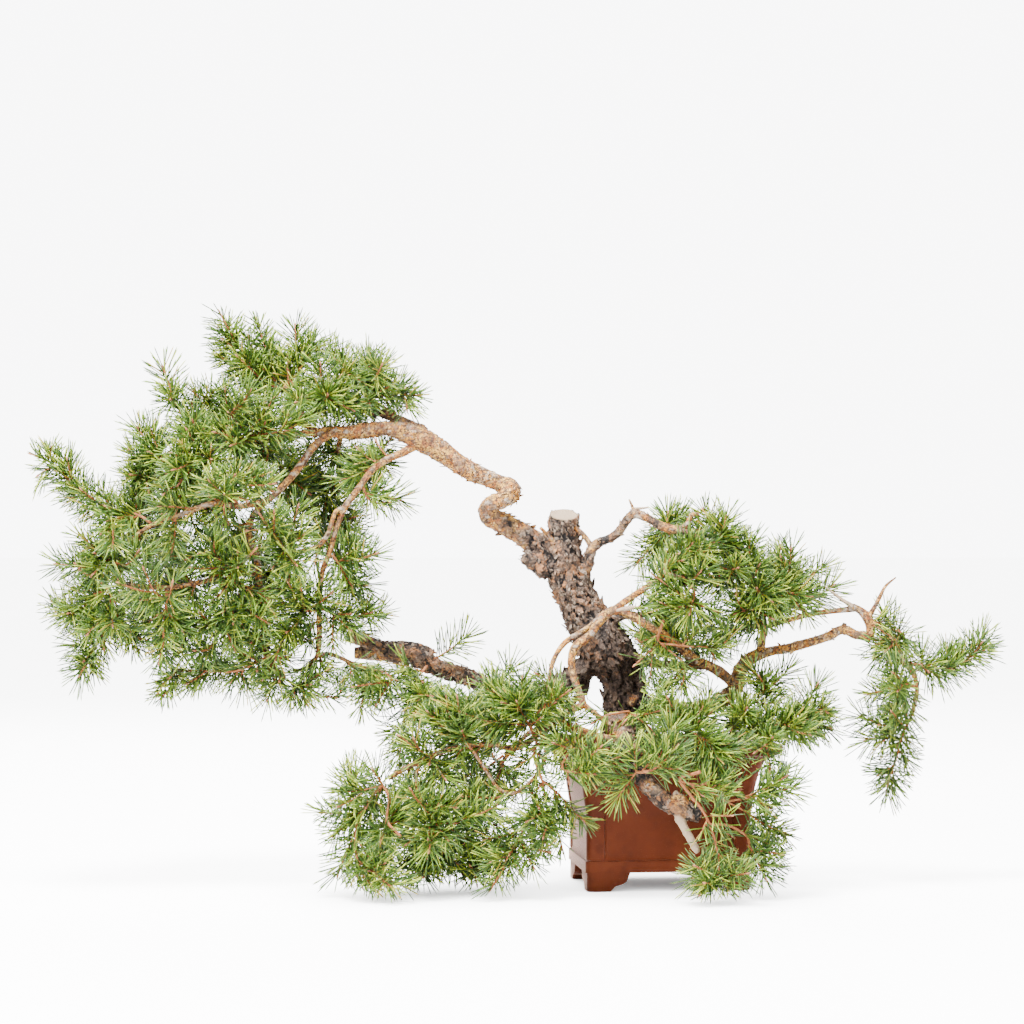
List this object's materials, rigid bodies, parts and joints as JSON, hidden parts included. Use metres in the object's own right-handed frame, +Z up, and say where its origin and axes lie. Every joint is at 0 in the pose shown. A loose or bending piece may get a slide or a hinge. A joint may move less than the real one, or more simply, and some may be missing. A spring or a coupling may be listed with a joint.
{
  "type": "potted scots pine bonsai",
  "caption": "Gnarled pine tree with a bough sweeping far to one side and long-needled shoots, growing in a low rectangular clay pot with a flat lip and bracket feet.",
  "frame": {"origin": "under the middle of the whole object's box, in the plane of the pot's feet", "axes": "+X to the right as seen from the front, along the tree's long sweep; +Y away from the viewer; +Z up"},
  "size_m": [1.3006, 0.4126, 0.7723],
  "materials": {
    "clay": "unglazed red-brown clay, matte with a faint sheen",
    "soil": "loose coarse granules, damp brown",
    "drain_mesh": "dark plastic mesh",
    "bark": "flaking bark, orange-tan on the boughs and dark grey-brown low on the trunk",
    "needles": "fresh green needles on orange-brown twigs"
  },
  "bodies": {
    "root": {"pot": "clay", "soil": "soil", "drain_screen_left": "drain_mesh", "drain_screen_right": "drain_mesh", "wood": "bark", "leafy_crown": "needles", "leafy_ridge": "needles", "leafy_upper_star": "needles", "leafy_upper_left": "needles", "leafy_outer_upper": "needles", "leafy_outer_left": "needles", "leafy_far_left": "needles", "leafy_left_end": "needles", "leafy_low_left_end": "needles", "leafy_low_stars": "needles", "leafy_middle_star": "needles", "leafy_arch": "needles", "leafy_low_row": "needles", "leafy_low_long": "needles", "leafy_near_star": "needles", "leafy_upper_front": "needles", "leafy_front_left": "needles", "leafy_strand_right": "needles", "leafy_strand_low_right": "needles", "leafy_strand_left": "needles", "leafy_strand_tuft": "needles", "leafy_back_inner": "needles", "leafy_back_left": "needles", "leafy_back_column": "needles", "leafy_rear_low": "needles", "leafy_rear_high": "needles", "leafy_tan_tail_end": "needles", "leafy_old_bough_front": "needles", "leafy_upswept": "needles", "leafy_front_mid_left": "needles", "leafy_cascade_end": "needles", "leafy_cascade_middle_end": "needles", "leafy_cascade_rear_end": "needles", "leafy_cascade_inner_end": "needles", "leafy_low_rear_end": "needles", "leafy_pot_corner": "needles", "leafy_cascade_front": "needles", "leafy_pot_front_left": "needles", "leafy_pot_front": "needles", "leafy_pot_front_hang": "needles", "leafy_pot_right": "needles", "leafy_rim_right": "needles", "leafy_rim_front": "needles", "leafy_trunk_front": "needles", "leafy_prong_end": "needles", "leafy_upper_right_end": "needles", "leafy_right_arch_end": "needles", "leafy_right_arch_low_end": "needles", "leafy_upper_right_back": "needles", "leafy_upright_end": "needles", "leafy_return_shoot": "needles", "leafy_far_hanging_end": "needles", "leafy_far_hanging_left": "needles", "leafy_far_right": "needles", "leafy_far_loop_end": "needles"}
  },
  "joints": []
}
